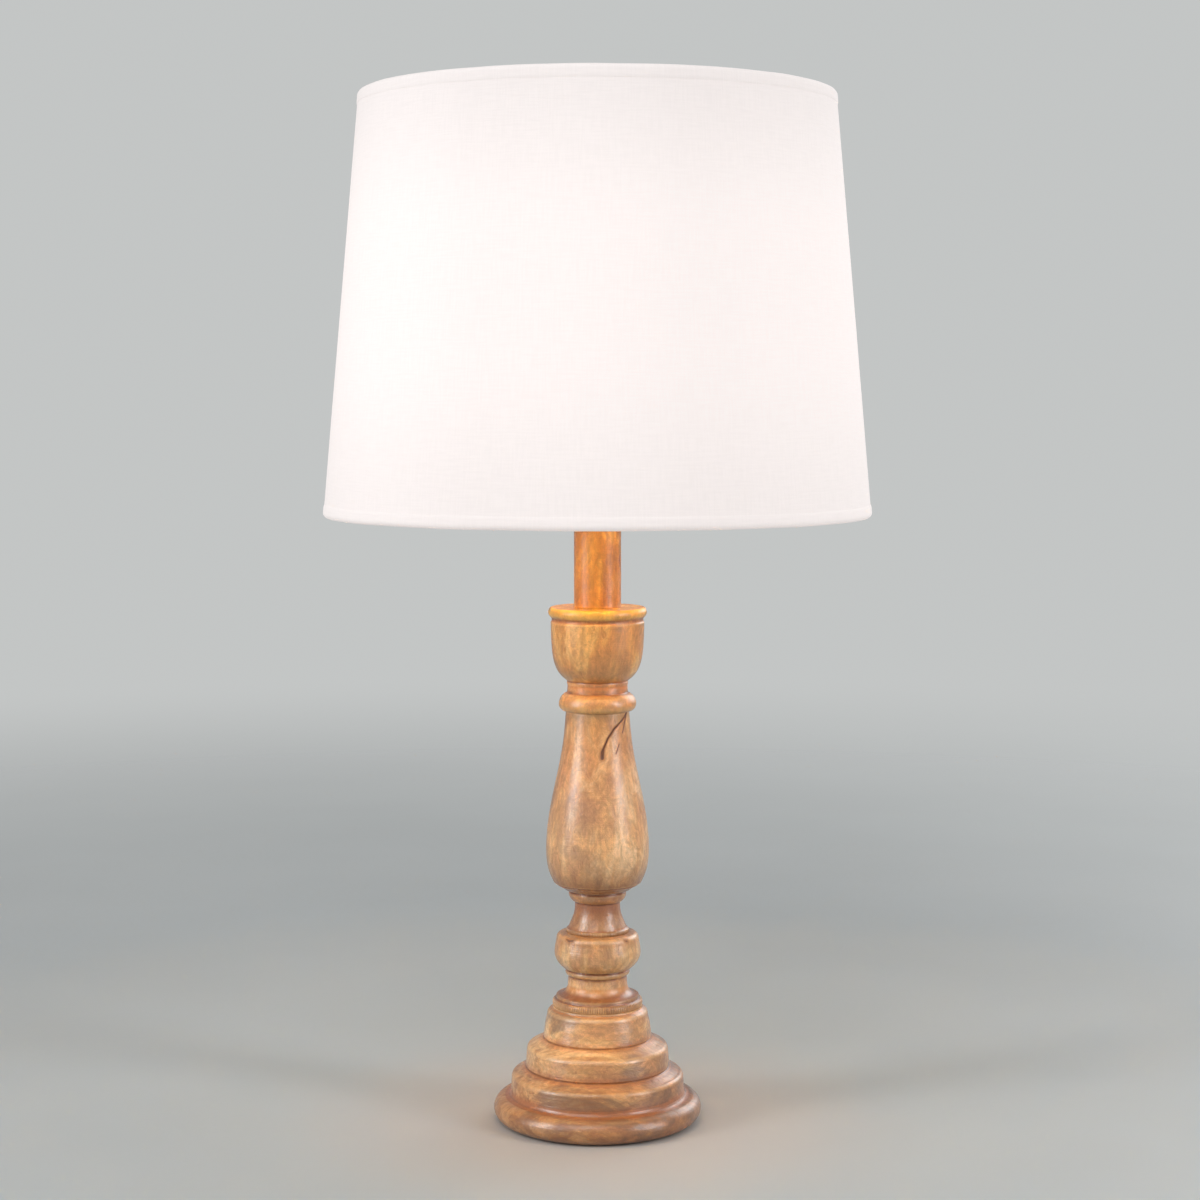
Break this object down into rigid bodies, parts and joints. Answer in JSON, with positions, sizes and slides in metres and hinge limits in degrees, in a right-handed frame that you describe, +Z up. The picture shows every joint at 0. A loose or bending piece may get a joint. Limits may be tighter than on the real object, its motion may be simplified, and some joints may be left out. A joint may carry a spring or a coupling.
{
  "type": "table lamp",
  "caption": "Table lamp: turned wooden column on a stepped round foot, E27 lampholder with push-bar switch, screw-in bulb, and a tapered fabric drum shade on a wire gimbal.",
  "frame": {"origin": "on the column's axis, on the surface that the lamp stands on", "axes": "+Z up along the column; +Y to the rear, where the cable inlet is; -Y is the front"},
  "size_m": [0.3494, 0.3494, 0.6598],
  "materials": {
    "mango_wood": "satin varnish",
    "felt": "matt felt",
    "bush_plastic": "matt",
    "zinc_steel": "bright zinc plate",
    "brass_trim": "satin",
    "contact_brass": "bright",
    "holder_plastic": "fine matt",
    "ceramic_insulator": "unglazed",
    "nickel_shell": "nickel plate",
    "white_wire": "white epoxy coat",
    "shade_liner": "matt translucent sheet",
    "shade_fabric": "fine plain weave",
    "solder_tip": "dull solder",
    "cap_glass": "black glass",
    "bulb_plastic": "satin",
    "opal_dome": "frosted",
    "board_aluminium": "white lacquer",
    "led_phosphor": "silicone",
    "circuit_board": "solder mask"
  },
  "bodies": {
    "base": {"foot": "mango_wood", "lower_spindle": "mango_wood", "vase_spindle": "mango_wood", "cup_spindle": "mango_wood", "candle_tube": "mango_wood", "felt_pad": "felt", "cable_bush": "bush_plastic", "threaded_rod": "zinc_steel", "bottom_washer": "zinc_steel", "lock_washer": "zinc_steel", "bottom_nut": "zinc_steel", "tube_cap": "brass_trim", "holder_base": "holder_plastic", "holder_grub_screw": "zinc_steel", "holder_body": "holder_plastic", "contact_carrier": "ceramic_insulator", "terminal_screws": "contact_brass", "centre_contact": "contact_brass", "side_contact": "contact_brass", "screw_shell": "nickel_shell", "switch_contact": "contact_brass", "shade_ring_lower": "holder_plastic", "shade_ring_upper": "holder_plastic"},
    "shade": {"gimbal_ring": "white_wire", "gimbal_arms": "white_wire", "bottom_wire_ring": "white_wire", "top_wire_ring": "white_wire", "shade_liner": "shade_liner", "shade_fabric": "shade_fabric", "shade_seam": "shade_fabric", "bottom_hem": "shade_fabric", "top_hem": "shade_fabric"},
    "bulb_core": {"bulb_contact": "solder_tip", "bulb_insulator": "cap_glass"},
    "bulb": {"bulb_cap": "nickel_shell", "bulb_housing": "bulb_plastic", "bulb_dome": "opal_dome", "led_board": "board_aluminium", "led_chips": "led_phosphor", "driver_board": "circuit_board"},
    "switch": {"switch_bar": "holder_plastic"}
  },
  "joints": [
    {"name": "shade_turn", "type": "hinge", "parent": "base", "child": "shade", "pos_m": [0, 0, 0.441], "axis": [0, 0, 1], "continuous": true},
    {"name": "bulb_lift", "type": "slide", "parent": "base", "child": "bulb_core", "axis": [0, 0, 1], "range_m": [0, 0.01815]},
    {"name": "bulb_turn", "type": "hinge", "parent": "bulb_core", "child": "bulb", "pos_m": [0, 0, 0.45], "axis": [0, 0, 1], "range_deg": [0, 1800]},
    {"name": "switch_push", "type": "slide", "parent": "base", "child": "switch", "axis": [1, 0, 0], "range_m": [0, 0.006]}
  ],
  "couplings": [
    {"joint": "bulb_lift", "follows": "bulb_turn", "m_per_rad": 0.00057757}
  ]
}
